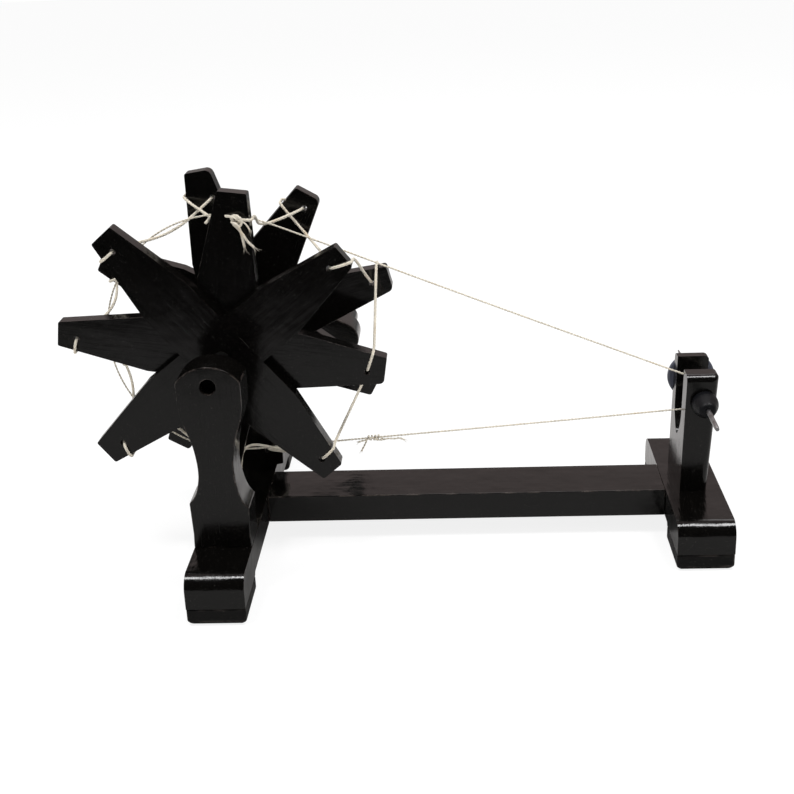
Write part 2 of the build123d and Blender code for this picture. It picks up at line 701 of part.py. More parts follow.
# The band's knot: a few turns round the two ends, and two short tails.
bind_axis = band_plane.x_dir * run_dir[0] + band_plane.y_dir * run_dir[1]
bind_origin = band_plane.from_local_coords((*off(band_knot_at, run_dir, -bind_len / 2), 0))
bind_plane = Plane(origin=bind_origin, x_dir=(0, -1, 0), z_dir=bind_axis)
with BuildPart() as band_knot:
    with BuildLine() as bind_line:
        bind_coil = bind_plane.location * Helix(
            pitch=bind_pitch,
            height=bind_len,
            radius=bind_r,
            mode=Mode.PRIVATE,
        )
        Line(bind_coil @ 0 - (bind_coil % 0) * bind_tails[0], bind_coil @ 0)
        add(bind_coil)
        Line(bind_coil @ 1, bind_coil @ 1 + (bind_coil % 1) * bind_tails[1])
    with BuildSketch(Plane(bind_line.wire() @ 0, z_dir=bind_line.wire() % 0)):
        Circle(band_r)
    sweep()
band_knot.part.label = "band_knot"
export_step(band_knot.part, "parts/band_knot.step")
bind_ideal = pi * band_r**2 * bind_line.wire().length
print("band knot turns", bind_turns, "gap between turns", round(bind_pitch - 2 * band_r, 2))
print("band knot volume / section x length", round(band_knot.part.volume / bind_ideal, 4))
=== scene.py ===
"""Looks of a small upright charkha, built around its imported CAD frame.

Every wooden and turned piece keeps its CAD shape and gets worn arrises, grain and a
dark lacquer. The cotton lacing and the drive band are twisted cords on smooth routes.
Metres, +X towards the spindle, +Y away from the camera, +Z up.
"""

import random
from collections import namedtuple
from math import atan2, cos, hypot, pi, radians, sin, sqrt

import bmesh
import bpy
from bpy.props import FloatProperty, FloatVectorProperty, IntProperty, PointerProperty
from mathutils import Matrix, Vector


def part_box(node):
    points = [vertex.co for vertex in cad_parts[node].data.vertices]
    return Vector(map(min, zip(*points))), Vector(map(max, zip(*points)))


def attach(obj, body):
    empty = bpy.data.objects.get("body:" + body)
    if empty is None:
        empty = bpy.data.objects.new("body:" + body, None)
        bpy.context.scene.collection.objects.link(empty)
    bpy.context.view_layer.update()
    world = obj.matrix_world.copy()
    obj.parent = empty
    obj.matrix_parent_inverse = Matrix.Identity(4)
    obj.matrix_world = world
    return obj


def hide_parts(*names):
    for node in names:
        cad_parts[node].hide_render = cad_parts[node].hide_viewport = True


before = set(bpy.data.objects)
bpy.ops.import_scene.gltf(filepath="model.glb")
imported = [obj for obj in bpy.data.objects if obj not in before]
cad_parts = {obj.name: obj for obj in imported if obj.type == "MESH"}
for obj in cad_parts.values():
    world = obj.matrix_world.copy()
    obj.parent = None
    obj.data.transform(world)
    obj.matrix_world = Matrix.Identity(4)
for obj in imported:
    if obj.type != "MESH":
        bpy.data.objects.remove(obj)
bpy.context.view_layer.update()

bl_info = {
    "name": "Upright charkha",
    "version": (1, 0, 0),
    "blender": (4, 5, 0),
    "location": "View3D > Sidebar > Charkha",
    "description": "Lacquered wood, twisted cotton and steel looks for a small spinning wheel",
    "category": "Object",
}

MM = 0.001

# Places and sizes of the CAD solids, in millimetres.
WHEEL_X, WHEEL_Z = -80.9, 103.75
SPINDLE_X, SPINDLE_Z = 146.9, 70.5
RAIL_Y = -7.9              # the frame's middle plane
# Front and rear faces of the four layers of boards, back from that plane.
FRONT_OUTER = (-30.7, -23.0)
FRONT_INNER = (-23.0, -15.3)
REAR_INNER = (15.3, 23.0)
REAR_OUTER = (23.0, 30.7)
# A vane's tip, waist and lacing hole, out from the axle, and its half widths.
CAD_TIP, CAD_TIP_HALF, CAD_TIP_ROUND = 77.0, 6.4, 1.0
CAD_WAIST, CAD_WAIST_HALF = 36.0, 13.7
CAD_HOLE = 68.0
CRANK_ANGLE = -29.0

# How the pieces are worn or sawn away from those sizes.
CAD_PAD_CHAMFER = 0.6 * MM
PAD_WORN = 2.0 * MM        # size of a pad's worn lower edges
BEAD_SLIMMER = 0.07        # share of its radius that the bead has lost
SAWN_FROM = 60             # nearer to the axle, in millimetres, a vane keeps its CAD shape
HOLE_REACH = 2.2           # the hole's corners lie this near to its middle
TIP_REACH = 1.6            # the tip's corners lie this near to the tip
CUT_BULGE = 0.18           # how round a cut corner is, as a share of the cut

# Each vane as it was sawn: its angle and layer, tip radius, half width at the tip, hole out
# along the vane and hole sideways, the corners cut off anticlockwise and clockwise, and how
# far the tip leans anticlockwise, if it does, in degrees and millimetres.
Vane = namedtuple("Vane", "angle layer tip half hole_out hole_side cut_ccw cut_cw lean", defaults=(0.0,))
VANES = {
    "U": Vane(82.9, FRONT_INNER, 77.3, 7.0, 65.9, -3.1, 1.0, 1.0, -0.5),
    "UR_back": Vane(60.4, REAR_OUTER, 75.8, 7.0, 68.4, -3.6, 1.2, 3.4, -2.3),
    "UR": Vane(37.9, FRONT_OUTER, 76.6, 6.4, 67.7, 0.4, 1.0, 1.6, 0.4),
    "R_back": Vane(15.2, REAR_INNER, 81.4, 6.6, 72.0, 2.2, 1.4, 3.0, 2.0),
    "R": Vane(351.6, FRONT_INNER, 77.0, 6.9, 68.3, -1.3, 1.0, 2.6),
    "LR_back": Vane(332.3, REAR_OUTER, 77.0, 6.4, 68.0, 0.4, 1.2, 1.6),
    "LR": Vane(309.7, FRONT_OUTER, 77.0, 6.2, 68.7, 0.2, 1.4, 1.0),
    "D_back": Vane(279.0, REAR_INNER, 77.2, 6.4, 68.2, -0.5, 1.0, 1.4),
    "D": Vane(262.9, FRONT_INNER, 77.0, 6.5, 67.6, 0.6, 1.0, 1.0),
    "LL_back": Vane(240.4, REAR_OUTER, 76.6, 6.4, 67.5, 0.3, 1.6, 1.2),
    "LL": Vane(217.9, FRONT_OUTER, 76.5, 6.7, 66.3, 1.5, 1.2, 1.0),
    "L_back": Vane(195.2, REAR_INNER, 67.0, 6.0, 61.0, -5.6, 1.2, 1.2, -7.0),
    "L": Vane(171.6, FRONT_INNER, 79.3, 6.1, 70.4, 1.6, 1.0, 1.0),
    "UL_back": Vane(152.3, REAR_OUTER, 74.8, 6.4, 66.5, 0.5, 1.2, 1.2),
    "UL": Vane(129.7, FRONT_OUTER, 78.3, 6.3, 69.4, 1.4, 1.0, 1.0),
    "U_back": Vane(99.0, REAR_INNER, 80.0, 6.6, 66.4, -4.4, 1.0, 3.4),
}
BOARDS = {
    "front_board_1": ("UL", "LR"),
    "front_board_2": ("UR", "LL"),
    "front_board_3": ("L", "R"),
    "front_board_4": ("U", "D"),
    "rear_board_1": ("UR_back", "LL_back"),
    "rear_board_2": ("UL_back", "LR_back"),
    "rear_board_3": ("R_back", "L_back"),
    "rear_board_4": ("U_back", "D_back"),
}
LACING_ORDER = list(VANES)
PADS = [foot + end for foot in ("wheel_foot", "spindle_foot") for end in ("_pad_front", "_pad_rear")]

# Width of the rounding on the arrises that aren't like the rest, in millimetres.
ARRISES = {
    "axle": 0.6, "crank_arm": 0.8, "crank_handle": 0.5,
    "spindle_rod": 0.08, "whorl": 0.12, "front_bead": 0.3, "rear_disc": 0.3,
    **dict.fromkeys(PADS, 0.9), **dict.fromkeys(BOARDS, 0.45),
}
ALONG_X, ALONG_Y, ALONG_Z = (1, 0, 0), (0, 1, 0), (0, 0, 1)


# -------- settings
def colour(name, default, description):
    return FloatVectorProperty(
        name=name, description=description, subtype="COLOR", size=3, default=default, min=0, max=1,
    )


def length(name, default, low, high, description):
    """A length that is given in millimetres and kept in metres."""
    return FloatProperty(
        name=name, description=description, unit="LENGTH", default=default * MM,
        min=low * MM, max=high * MM,
    )


class CharkhaFinish(bpy.types.PropertyGroup):
    """Colours and wear of the wood, the turned pieces and the steel."""

    lacquer: colour("Lacquer", (0.0018, 0.0016, 0.0014), "Colour of the dark lacquer")
    worn_wood: colour("Worn arrises", (0.050, 0.040, 0.034), "Colour of lacquer rubbed thin")
    bead: colour("Bead", (0.0040, 0.0043, 0.0058), "Colour of the turned bead and disc")
    cotton: colour("Cotton", (0.86, 0.79, 0.66), "Colour of the lacing and the band")
    steel: colour("Steel", (0.50, 0.50, 0.51), "Colour of the spindle rod")
    arris: length("Arris", 0.55, 0.1, 2, "Width of the rounding on the wood's arrises")


class CharkhaCords(bpy.types.PropertyGroup):
    """Thickness and twist of the two cords."""

    lacing_width: length("Lacing width", 1.5, 0.5, 3, "Width over the lacing's strands")
    lacing_lay: length("Lacing lay", 5.2, 2, 20, "Length of one full twist of the lacing")
    band_width: length("Band width", 1.0, 0.4, 3, "Width over the band's strands")
    band_lay: length("Band lay", 3.4, 1, 20, "Length of one full twist of the band")
    seed: IntProperty(
        name="Seed", description="Picks the frayed ends' fibres", default=7, min=0, max=999,
    )


class CharkhaStage(bpy.types.PropertyGroup):
    """The floor's colour, the room's light and the lamps' power."""

    floor: colour("Floor", (0.90, 0.90, 0.90), "Colour of the floor")
    sky: FloatProperty(
        name="Room light", description="Strength of the even light from the room",
        default=0.55, min=0, max=2,
    )
    lamps: FloatProperty(
        name="Lamps", description="Power of each soft lamp", unit="POWER",
        default=5.0, min=0, max=100,
    )


# -------- shader nodes
class Net:
    """A short way to add and join shader nodes in one tree."""

    def __init__(self, tree):
        self.tree = tree
        self.column = 0

    def add(self, kind, **values):
        node = self.tree.nodes.new(kind)
        self.column += 1
        node.location = (self.column * 180, -40 * (self.column % 5))
        for name, value in values.items():
            setattr(node, name, value)
        return node

    def feed(self, value, socket):
        """Sets a socket to a number or a colour, or joins another node's output to it."""
        if isinstance(value, bpy.types.NodeSocket):
            self.tree.links.new(value, socket)
        elif isinstance(value, (int, float)):
            socket.default_value = value
        else:
            socket.default_value = (*value, 1.0)

    def made(self, kind, **inputs):
        """The first output of a new node with those inputs."""
        node = self.add(kind)
        for name, value in inputs.items():
            self.feed(value, node.inputs[name])
        return node.outputs[0]

    def math(self, operation, a, b, clamp):
        node = self.add("ShaderNodeMath", operation=operation, use_clamp=clamp)
        self.feed(a, node.inputs[0])
        self.feed(b, node.inputs[1])
        return node.outputs[0]

    def times(self, a, b, clamp=False):
        return self.math("MULTIPLY", a, b, clamp)

    def plus(self, a, b, clamp=False):
        return self.math("ADD", a, b, clamp)

    def ramp(self, value, low, high):
        """0 at low, 1 at high, smooth between."""
        node = self.add("ShaderNodeMapRange", interpolation_type="SMOOTHSTEP")
        for name, limit in (("Value", value), ("From Min", low), ("From Max", high)):
            self.feed(limit, node.inputs[name])
        return node.outputs[0]

    def blend(self, share, first, second):
        """The first colour at a share of 0, the second at 1."""
        node = self.add("ShaderNodeMix", data_type="RGBA")
        for slot, value in ((0, share), (6, first), (7, second)):
            self.feed(value, node.inputs[slot])
        return node.outputs[2]

    def either(self, share, first, second):
        """The first shader at a share of 0, the second at 1."""
        node = self.add("ShaderNodeMixShader")
        for slot, value in enumerate((share, first, second)):
            self.feed(value, node.inputs[slot])
        return node.outputs[0]

    def noise(self, vector, scale, detail, roughness):
        """Noise of that many waves a metre. Three numbers draw it out along an axis."""
        if isinstance(scale, tuple):
            stretch = self.add("ShaderNodeVectorMath", operation="MULTIPLY")
            self.feed(vector, stretch.inputs[0])
            stretch.inputs[1].default_value = scale
            vector, scale = stretch.outputs[0], 1.0
        return self.made(
            "ShaderNodeTexNoise", Vector=vector, Scale=scale, Detail=detail, Roughness=roughness,
        )


def fill_grain(net, given, out):
    """Long streaks along the piece, with finer pores between them."""
    streaks = net.noise(given["Vector"], (9.0, 260.0, 260.0), detail=3.0, roughness=0.55)
    pores = net.noise(given["Vector"], (60.0, 1500.0, 1500.0), detail=2.0, roughness=0.6)
    net.feed(net.plus(net.times(streaks, 0.75), net.times(pores, 0.25)), out["Streaks"])
    net.feed(net.ramp(pores, 0.56, 0.74), out["Pores"])


def fill_wear(net, given, out):
    """Where an arris is rubbed: broken patches along it."""
    patches = net.noise(given["Vector"], given["Patch size"], detail=4.0, roughness=0.6)
    worn = net.times(given["Arris"], net.ramp(patches, 0.42, 0.66), clamp=True)
    net.feed(net.times(worn, given["Amount"], clamp=True), out["Wear"])


def fill_dust(net, given, out):
    """Scattered specks and a faint uneven film."""
    specks = net.noise(given["Vector"], 1900.0, detail=1.0, roughness=0.5)
    film = net.noise(given["Vector"], 55.0, detail=4.0, roughness=0.6)
    net.feed(net.times(net.ramp(specks, 0.70, 0.80), given["Amount"]), out["Specks"])
    net.feed(net.times(net.ramp(film, 0.45, 0.75), given["Amount"]), out["Film"])


WAVE_RISE, MARK_RISE, PEEL_RISE = 0.00022, 0.000035, 0.000004


def fill_brushed(net, given, out):
    """Slow waves, brush marks and fine peel in a hand-laid lacquer, as a height in metres."""
    waves = net.noise(given["Vector"], 70.0, detail=2.0, roughness=0.5)
    marks = net.noise(given["Along"], (25.0, 420.0, 420.0), detail=3.0, roughness=0.6)
    peel = net.noise(given["Vector"], 900.0, detail=2.0, roughness=0.5)
    rise = net.plus(net.times(waves, WAVE_RISE), net.times(marks, MARK_RISE))
    rise = net.plus(rise, net.times(peel, PEEL_RISE))
    net.feed(net.times(rise, given["Amount"]), out["Height"])


# Each shared effect's filling, inputs and outputs. An input without a default is a vector.
EFFECTS = {
    "wood grain": (fill_grain, {"Vector": None}, ("Streaks", "Pores")),
    "arris wear": (
        fill_wear, {"Vector": None, "Arris": 0.0, "Patch size": 140.0, "Amount": 1.0}, ("Wear",),
    ),
    "dust": (fill_dust, {"Vector": None, "Amount": 0.5}, ("Specks", "Film")),
    "brushed lacquer": (fill_brushed, {"Vector": None, "Along": None, "Amount": 1.0}, ("Height",)),
}


def effect_group(name):
    """Builds the node group of a shared effect."""
    fill, inputs, outputs = EFFECTS[name]
    group = bpy.data.node_groups.new(name, "ShaderNodeTree")
    for socket, value in inputs.items():
        kind = "NodeSocketVector" if value is None else "NodeSocketFloat"
        made = group.interface.new_socket(socket, in_out="INPUT", socket_type=kind)
        if value is not None:
            made.default_value = value
    for socket in outputs:
        group.interface.new_socket(socket, in_out="OUTPUT", socket_type="NodeSocketFloat")
    net = Net(group)
    start = net.add("NodeGroupInput")
    end = net.add("NodeGroupOutput")
    fill(net, start.outputs, end.inputs)
    return group


def effect(net, name, **inputs):
    """A shared effect, placed in one material with its own values."""
    group = bpy.data.node_groups.get(name) or effect_group(name)
    node = net.add("ShaderNodeGroup", node_tree=group)
    for socket, value in inputs.items():
        net.feed(value, node.inputs[socket])
    return node.outputs


# -------- finishes
# Each lacquered finish: the setting with its colour, how many times as pale it is (painted light
# where that isn't 1), and how strong its roughness, waves, wear, streaks, dust and mirror shine
# are.
Lacquer = namedtuple("Lacquer", "colour paler rough waves wear streaks dust shine")
LACQUERS = {
    "lacquered wood": Lacquer("lacquer", 1.0, 0.15, 1.0, 0.7, 1.0, 0.4, 0.5),
    "lacquered feet": Lacquer("lacquer", 1.0, 0.10, 2.4, 0.9, 1.0, 0.5, 0.5),
    "rough pads": Lacquer("lacquer", 1.0, 0.42, 3.0, 0.45, 1.6, 1.0, 0.24),
    "turned bead": Lacquer("bead", 1.0, 0.44, 0.3, 0.1, 0.6, 0.3, 0.24),
    # The disc is painted 18 times as pale as the bead: a painted reflection of the bright room.
    "turned disc": Lacquer("bead", 18.0, 0.30, 0.3, 0.2, 0.6, 0.3, 0.5),
    # The axle's end is matt end grain. Its colour, half the lacquer's, is painted shade in the hole it
    # is sunk in.
    "sunk end grain": Lacquer("lacquer", 0.5, 0.80, 2.0, 0.2, 1.0, 0.3, 0.1),
}
LACQUER_IOR = 1.52
STREAK_DARK, STREAK_PALE = 0.55, 1.9                     # times the lacquer's colour
DUST, DUST_SHARE = (0.30, 0.28, 0.26), 0.35
PORE_ROUGH, FILM_ROUGH, WORN_ROUGH = 0.10, 0.16, 0.22    # added to the roughness
PORE_RISE, STREAK_RISE = -0.000012, 0.00005              # in metres

STEEL_STAIN = (0.24, 0.21, 0.19)
STEEL_ROUGH, RING_ROUGH, STAIN_ROUGH = 0.22, 0.16, 0.12
RING_RISE = 0.00001

FIBRES = {"lacing cotton": 1500.0, "band cotton": 2200.0}    # fibres a metre, across a strand
FIBRE_DRAWN = 0.35                                           # and how many of those along it
FIBRE_SHADE, FIBRE_RISE = 0.62, 0.00006
COTTON_SOIL = (0.72, 0.62, 0.50)


def emptied(owner):
    """The node tree of a material or of the world, with nothing in it yet."""
    owner.use_nodes = True
    owner.node_tree.nodes.clear()
    return Net(owner.node_tree)


def new_material(name):
    made = bpy.data.materials.new(name)
    net = emptied(made)
    shader = net.add("ShaderNodeBsdfPrincipled")
    output = net.add("ShaderNodeOutputMaterial")
    net.feed(shader.outputs[0], output.inputs["Surface"])
    return made, net, shader.inputs


def bumped(net, height, shader):
    bump = net.made("ShaderNodeBump", Strength=1.0, Distance=1.0, Height=height)
    net.feed(bump, shader["Normal"])


def attribute(net, name, output="Vector"):
    return net.add("ShaderNodeAttribute", attribute_name=name).outputs[output]


def object_place(net):
    return net.add("ShaderNodeTexCoord").outputs["Object"]


def lacquer_material(name, finish):
    """Dark lacquer over grained wood, rubbed thin on its arrises and a little dusty."""
    look = LACQUERS[name]
    # The paler factor is painted light: a painted reflection on the disc, painted shade on the axle's
    # end.
    colour = [look.paler * c for c in getattr(finish, look.colour)]
    made, net, shader = new_material(name)
    shader["Specular IOR Level"].default_value = look.shine
    shader["IOR"].default_value = LACQUER_IOR
    place, along = object_place(net), attribute(net, "grain")
    arris = attribute(net, "arris", "Fac")
    grain = effect(net, "wood grain", Vector=along)
    worn = effect(net, "arris wear", Vector=place, Arris=arris, Amount=look.wear)["Wear"]
    dust = effect(net, "dust", Vector=place, Amount=look.dust)
    height = effect(net, "brushed lacquer", Vector=place, Along=along, Amount=look.waves)["Height"]

    streaks = net.times(grain["Streaks"], look.streaks, clamp=True)
    dark, pale = ([share * c for c in colour] for share in (STREAK_DARK, STREAK_PALE))
    rubbed = net.blend(worn, net.blend(streaks, dark, pale), finish.worn_wood)
    dusted = net.blend(net.times(dust["Specks"], DUST_SHARE), rubbed, DUST)
    net.feed(dusted, shader["Base Color"])

    rough = net.plus(net.times(grain["Pores"], PORE_ROUGH), look.rough)
    rough = net.plus(rough, net.times(dust["Film"], FILM_ROUGH))
    rough = net.plus(rough, net.times(worn, WORN_ROUGH), clamp=True)
    net.feed(rough, shader["Roughness"])

    pores = net.times(grain["Pores"], PORE_RISE)
    ridges = net.times(grain["Streaks"], STREAK_RISE)
    bumped(net, net.plus(height, net.plus(pores, ridges)), shader)
    return made


def steel_material(name, finish):
    """Drawn steel, a little dull, with fine marks round it."""
    made, net, shader = new_material(name)
    place = object_place(net)
    rings = net.noise(place, (300.0, 4200.0, 300.0), detail=3.0, roughness=0.6)
    stains = net.noise(place, 240.0, detail=3.0, roughness=0.6)
    tint = net.blend(net.ramp(stains, 0.45, 0.8), finish.steel, STEEL_STAIN)
    net.feed(tint, shader["Base Color"])
    shader["Metallic"].default_value = 1.0
    rough = net.plus(net.times(rings, RING_ROUGH), STEEL_ROUGH)
    rough = net.plus(rough, net.times(stains, STAIN_ROUGH), clamp=True)
    net.feed(rough, shader["Roughness"])
    bumped(net, net.times(rings, RING_RISE), shader)
    return made


def cotton_material(name, finish):
    """Undyed cotton yarn: matt, with fibres that follow each strand."""
    made, net, shader = new_material(name)
    across = FIBRES[name]
    scale = (FIBRE_DRAWN * across, across, across)
    fibres = net.noise(attribute(net, "strand"), scale, detail=3.0, roughness=0.6)
    soil = net.noise(object_place(net), 90.0, detail=3.0, roughness=0.55)
    pale = tuple(finish.cotton)
    shaded = [FIBRE_SHADE * c for c in pale]
    grimy = [share * c for share, c in zip(COTTON_SOIL, pale)]
    yarn = net.blend(net.ramp(fibres, 0.3, 0.75), shaded, pale)
    net.feed(net.blend(net.ramp(soil, 0.5, 0.85), yarn, grimy), shader["Base Color"])
    shader["Roughness"].default_value = 0.86
    shader["Sheen Weight"].default_value = 0.25
    shader["Sheen Roughness"].default_value = 0.5
    bumped(net, net.times(fibres, FIBRE_RISE), shader)
    return made


def material(name):
    """One of this object's finishes, made when it's first asked for."""
    found = bpy.data.materials.get(name)
    if found:
        return found
    finish = bpy.context.scene.charkha_finish
    if name in LACQUERS:
        return lacquer_material(name, finish)
    if name in FIBRES:
        return cotton_material(name, finish)
    if name == "spindle steel":
        return steel_material(name, finish)
    raise ValueError("no finish is named " + name)


# -------- rigid pieces
def linked(obj):
    bpy.context.scene.collection.objects.link(obj)
    return obj


def meshed(name, shape, finish):
    """The bmesh as a mesh with one material."""
    mesh = bpy.data.meshes.new(name)
    shape.to_mesh(mesh)
    shape.free()
    mesh.materials.append(finish)
    return mesh


def grain_axes(direction):
    """Axes of a piece whose grain runs along that direction."""
    along = Vector(direction).normalized()
    side = Vector((0, 1, 0)) if abs(along.y) < 0.9 else Vector((1, 0, 0))
    across = along.cross(side).normalized()
    return along, across, along.cross(across)


MERGE = 2e-6               # corners of the CAD mesh this near are one, in metres
FLAT = radians(0.35)       # an edge that turns less is no edge
SHARP = radians(28)        # an edge that turns more is an arris
SHADED_SHARP = radians(40)
GRAIN_PLACES, GRAIN_APART = 97, 0.013    # each piece's grain starts at another place


def rounded_shape(node, arris, segments, reshape):
    """A merged copy of a CAD node with its sharp edges rounded. Marks the rounded faces."""
    shape = bmesh.new()
    shape.from_mesh(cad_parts[node].data)
    bmesh.ops.remove_doubles(shape, verts=shape.verts, dist=MERGE)
    bmesh.ops.dissolve_degenerate(shape, edges=shape.edges, dist=MERGE)
    bmesh.ops.dissolve_limit(
        shape, angle_limit=FLAT, verts=shape.verts, edges=shape.edges,
        use_dissolve_boundaries=False,
    )
    if reshape:
        reshape(shape)
    sharp = [
        e for e in shape.edges
        if len(e.link_faces) == 2 and e.calc_face_angle(0.0) > SHARP
    ]
    mark = shape.faces.layers.float.new("arris")
    if sharp:
        made = bmesh.ops.bevel(
            shape, geom=sharp, offset=arris, offset_type="OFFSET", segments=segments,
            profile=0.5, affect="EDGES", clamp_overlap=True, material=-1,
        )
        for face in made["faces"]:
            face[mark] = 1.0
    return shape


def dressed(node, finish, body, grain, segments=2, reshape=None):
    """The visible piece for a rigid CAD node, with its grain along that direction."""
    if node in ARRISES:
        arris = ARRISES[node] * MM
    else:
        arris = bpy.context.scene.charkha_finish.arris
    shape = rounded_shape(node, arris, segments, reshape)
    mesh = meshed(node + "_dressed", shape, material(finish))
    for stale in ("custom_normal", "sharp_face", "sharp_edge"):
        if stale in mesh.attributes:
            mesh.attributes.remove(mesh.attributes[stale])
    axes = grain_axes(grain)
    store = mesh.attributes.new("grain", "FLOAT_VECTOR", "POINT")
    offset = (sum(map(ord, node)) % GRAIN_PLACES) * GRAIN_APART
    for value, vertex in zip(store.data, mesh.vertices):
        value.vector = [vertex.co.dot(axis) + offset for axis in axes]
    mesh.shade_smooth()
    mesh.set_sharp_from_angle(angle=SHADED_SHARP)
    piece = linked(bpy.data.objects.new(node + "_dressed", mesh))
    weighted = piece.modifiers.new("even shading", "WEIGHTED_NORMAL")
    weighted.keep_sharp = True
    weighted.weight = 100
    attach(piece, body)
    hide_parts(node)
    return piece


def vane_axes(angle):
    """The directions out along a vane and anticlockwise across it."""
    a = radians(angle)
    return Vector((cos(a), 0, sin(a))), Vector((-sin(a), 0, cos(a)))


def vane_place(angle, out, side, depth):
    """A point on the wheel: out along a vane, sideways anticlockwise, and back from the middle."""
    a = radians(angle)
    return Vector((
        WHEEL_X + out * cos(a) - side * sin(a),
        RAIL_Y + depth,
        WHEEL_Z + out * sin(a) + side * cos(a),
    )) * MM


def sawn(board):
    """Moves a board's tips, corners and holes to where each vane really has them."""
    ends = [VANES[name] for name in BOARDS[board]]
    axle = Vector((WHEEL_X, RAIL_Y, WHEEL_Z)) * MM

    def reshape(shape):
        for vane in ends:
            out_axis, side_axis = vane_axes(vane.angle)
            for vertex in shape.verts:
                place = (vertex.co - axle) / MM
                out, side = place.dot(out_axis), place.dot(side_axis)
                if out < SAWN_FROM:
                    continue
                if hypot(out - CAD_HOLE, side) < HOLE_REACH:
                    new_out, new_side = out + vane.hole_out - CAD_HOLE, side + vane.hole_side
                elif out > CAD_TIP - TIP_REACH:
                    way = 1 if side > 0 else -1
                    cut = vane.cut_ccw if way > 0 else vane.cut_cw
                    turn = atan2(
                        out - (CAD_TIP - CAD_TIP_ROUND),
                        way * side - (CAD_TIP_HALF - CAD_TIP_ROUND),
                    )
                    share = min(1.0, max(0.0, turn / (pi / 2)))
                    bulge = CUT_BULGE * cut * sin(pi * share)
                    new_out = vane.tip - cut * (1 - share) + bulge
                    new_side = way * (vane.half - cut * share + bulge) + vane.lean
                else:
                    continue
                vertex.co += ((new_out - out) * out_axis + (new_side - side) * side_axis) * MM

    return reshape


def worn_below(pad):
    """Rubs a pad's lower edges rounder than its CAD chamfer."""
    low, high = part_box(pad)

    def reshape(shape):
        for vertex in shape.verts:
            rise = vertex.co.z - low[2]
            if rise < 0.5 * CAD_PAD_CHAMFER:
                for i in (0, 1):
                    way = 1 if vertex.co[i] < (low[i] + high[i]) / 2 else -1
                    vertex.co[i] += way * (PAD_WORN - CAD_PAD_CHAMFER)
            elif rise < 1.5 * CAD_PAD_CHAMFER:
                vertex.co.z = low[2] + PAD_WORN

    return reshape


def slimmer(bead):
    """Draws the bead in towards the spindle's axis."""
    for vertex in bead.verts:
        vertex.co.x += (SPINDLE_X * MM - vertex.co.x) * BEAD_SLIMMER
        vertex.co.z += (SPINDLE_Z * MM - vertex.co.z) * BEAD_SLIMMER


# -------- cords
LINE_STEPS = 16            # steps of a smooth line between two points of its route
SIDES, FIBRE_SIDES = 6, 4
STRAND_MARK = 0.6 * MM     # how far apart the fibres' pattern is drawn round a strand
STRAND_APART, FRAY_APART = 0.37, 0.9    # where each strand's and the frayed ends' pattern starts
PRESSED = 1.12             # how much wider a strand is than if it only touched the others
FIBRE_R, FIBRE_TAPER = 0.055 * MM, 0.6

# Each cord's number of strands, its body, its slot and its finish.
YARNS = {
    "lacing": (3, "wheel", "lacing_cotton", "lacing cotton"),
    "band": (2, "frame", "band_cotton", "band cotton"),
}


def smooth_line(name, points):
    """Even steps along the smooth line through a cord's route."""
    line = bpy.data.curves.new(name + "_route", "CURVE")
    line.dimensions = "3D"
    spline = line.splines.new("NURBS")
    spline.points.add(len(points) - 1)
    for knot, place in zip(spline.points, points):
        knot.co = (*place, 1.0)
    spline.order_u = 3
    spline.use_endpoint_u = True
    spline.resolution_u = LINE_STEPS
    line.resolution_u = LINE_STEPS
    holder = linked(bpy.data.objects.new(name + "_route", line))
    bpy.context.view_layer.update()
    mesh = bpy.data.meshes.new_from_object(holder)
    places = [v.co.copy() for v in mesh.vertices]
    bpy.data.objects.remove(holder)
    bpy.data.curves.remove(line)
    bpy.data.meshes.remove(mesh)
    return places


def even_steps(places, step):
    """The same line with its points a steady step apart."""
    runs = [(b - a).length for a, b in zip(places, places[1:])]
    total = sum(runs)
    count = max(2, round(total / step))
    wanted = [total * i / count for i in range(count + 1)]
    made, at, index = [], 0.0, 0
    for goal in wanted:
        while index < len(runs) - 1 and at + runs[index] < goal:
            at += runs[index]
            index += 1
        share = (goal - at) / runs[index] if runs[index] > 0 else 0.0
        made.append(places[index].lerp(places[index + 1], min(1.0, max(0.0, share))))
    return made, total


def carried_axes(places):
    """Two axes across the line at each point, carried along without twist."""
    heading = (places[1] - places[0]).normalized()
    across = heading.orthogonal().normalized()
    axes = []
    for i in range(len(places)):
        ahead = places[min(i + 1, len(places) - 1)] - places[max(i - 1, 0)]
        new_heading = ahead.normalized() if ahead.length > 0 else heading
        turn = heading.rotation_difference(new_heading)
        across = turn @ across
        across = (across - new_heading * across.dot(new_heading)).normalized()
        heading = new_heading
        axes.append((across.copy(), new_heading.cross(across)))
    return axes


def tube(shape, strand_layer, places, radii, sides, seed):
    """A closed tube of rings through the points, added to a bmesh."""
    axes = carried_axes(places)
    rings = []
    run = 0.0
    for i, (place, radius, (first, second)) in enumerate(zip(places, radii, axes)):
        if i:
            run += (place - places[i - 1]).length
        ring = []
        for k in range(sides):
            a = 2 * pi * k / sides
            vertex = shape.verts.new(place + (first * cos(a) + second * sin(a)) * radius)
            vertex[strand_layer] = Vector((
                run + seed, STRAND_MARK * cos(a) + seed, STRAND_MARK * sin(a),
            ))
            ring.append(vertex)
        rings.append(ring)
    for ring, following in zip(rings, rings[1:]):
        for k in range(sides):
            n = (k + 1) % sides
            shape.faces.new((ring[k], ring[n], following[n], following[k]))
    shape.faces.new(list(reversed(rings[0])))
    shape.faces.new(rings[-1])


